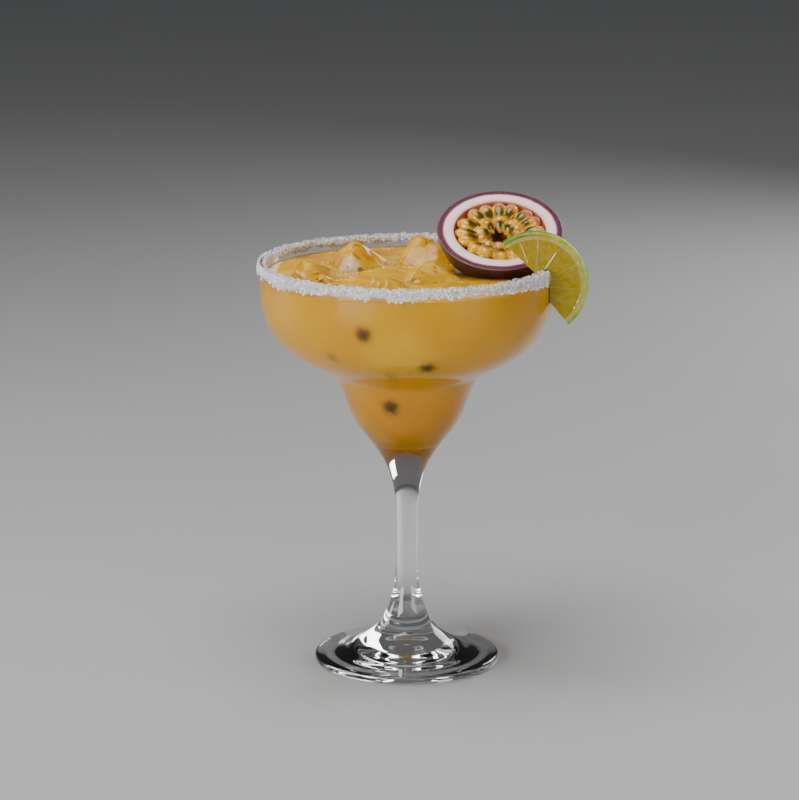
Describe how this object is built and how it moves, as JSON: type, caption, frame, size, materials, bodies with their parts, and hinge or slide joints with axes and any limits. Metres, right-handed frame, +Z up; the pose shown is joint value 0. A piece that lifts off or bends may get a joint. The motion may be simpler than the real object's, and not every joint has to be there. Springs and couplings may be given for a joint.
{
  "type": "margarita cocktail",
  "caption": "Golden passion fruit margarita with ice in a stemmed glass with a salted rim, with half a passion fruit and a slit lime slice on the rim.",
  "frame": {"origin": "centre of the foot, on the table", "axes": "+Z up along the stem, +X to the drinker's right where the lime hangs, -Y towards the drinker"},
  "size_m": [0.1316, 0.1198, 0.1882],
  "materials": {
    "glass": "clear polished",
    "drink": "cloudy golden orange liquid",
    "ice": "wet, melting",
    "passion_shell": "purple skin, pale pith",
    "passion_pulp": "wet sacs with dark seeds",
    "lime": "wet cut fruit with green rind",
    "salt": "coarse white crystals"
  },
  "bodies": {
    "root": {"glass": "glass", "drink": "drink", "ice_1": "ice", "ice_2": "ice", "ice_3": "ice", "ice_4": "ice", "ice_5": "ice", "passion_shell": "passion_shell", "passion_pulp": "passion_pulp", "lime_slice": "lime", "salt_rim": "salt"}
  },
  "joints": []
}
